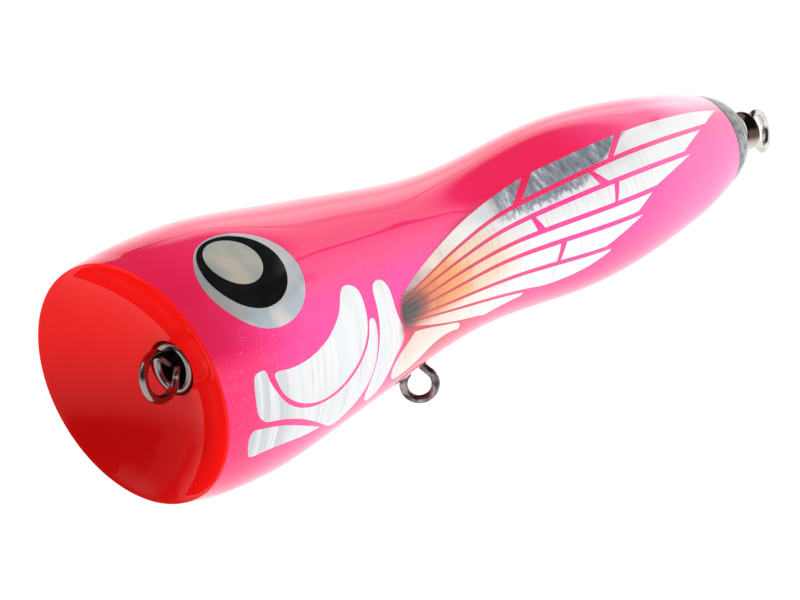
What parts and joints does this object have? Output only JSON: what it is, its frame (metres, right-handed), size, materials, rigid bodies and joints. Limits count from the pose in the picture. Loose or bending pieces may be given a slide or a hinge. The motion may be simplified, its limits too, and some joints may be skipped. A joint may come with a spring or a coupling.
{
  "type": "topwater popper",
  "caption": "Big cup-faced topwater popper: turned wooden body on a through-wire, with a nose loop, tail loop, turning belly hook hanger, pearl eyes and fin foils.",
  "frame": {"origin": "on the turned body's axis, in the eye of the nose loop, where the line ties on", "axes": "+X along the body's axis from nose to tail, +Z towards the back, the left flank on -Y"},
  "size_m": [0.1948, 0.0514, 0.0525],
  "materials": {
    "pink_lacquer": "gloss pink lacquer over wood, with a red cup",
    "tail_grey": "gloss dark grey",
    "stainless_wire": "polished stainless steel",
    "gunmetal_swivel": "dark nickel plate",
    "lead_weight": "cast",
    "epoxy_plug": "cured filler",
    "pearl_foil": "pearl foil under clear lacquer",
    "pearl_eye": "pearl eye with a black iris"
  },
  "bodies": {
    "lure": {"body_blank": "pink_lacquer", "tail_cap": "tail_grey", "through_wire": "stainless_wire", "nose_grommet": "stainless_wire", "tail_washer": "stainless_wire", "tail_ferrule": "stainless_wire", "belly_weight": "lead_weight", "tail_weight": "lead_weight", "belly_weight_plug": "epoxy_plug", "tail_weight_plug": "epoxy_plug", "eye_left": "pearl_eye", "cheek_foil_left": "pearl_foil", "jaw_foil_left": "pearl_foil", "throat_foil_left": "pearl_foil", "gill_foil_left": "pearl_foil", "pelvic_foil_left": "pearl_foil", "fin_foil_left": "pearl_foil", "eye_right": "pearl_eye", "cheek_foil_right": "pearl_foil", "jaw_foil_right": "pearl_foil", "throat_foil_right": "pearl_foil", "gill_foil_right": "pearl_foil", "pelvic_foil_right": "pearl_foil", "fin_foil_right": "pearl_foil"},
    "swivel_hanger": {"swivel_upper_eye": "gunmetal_swivel"},
    "barrel": {"swivel_barrel": "gunmetal_swivel"},
    "hook_eye": {"swivel_hook_eye": "gunmetal_swivel"}
  },
  "joints": [
    {"name": "hanger_swing", "type": "hinge", "parent": "lure", "child": "swivel_hanger", "pos_m": [0.0678, 0, 0], "axis": [1, 0, 0], "range_deg": [-4, 4]},
    {"name": "barrel_spin", "type": "hinge", "parent": "swivel_hanger", "child": "barrel", "pos_m": [0.0678, 0, -0.01], "axis": [0, 0, 1], "continuous": true},
    {"name": "hook_eye_spin", "type": "hinge", "parent": "barrel", "child": "hook_eye", "pos_m": [0.0678, 0, -0.02], "axis": [0, 0, 1], "continuous": true}
  ]
}
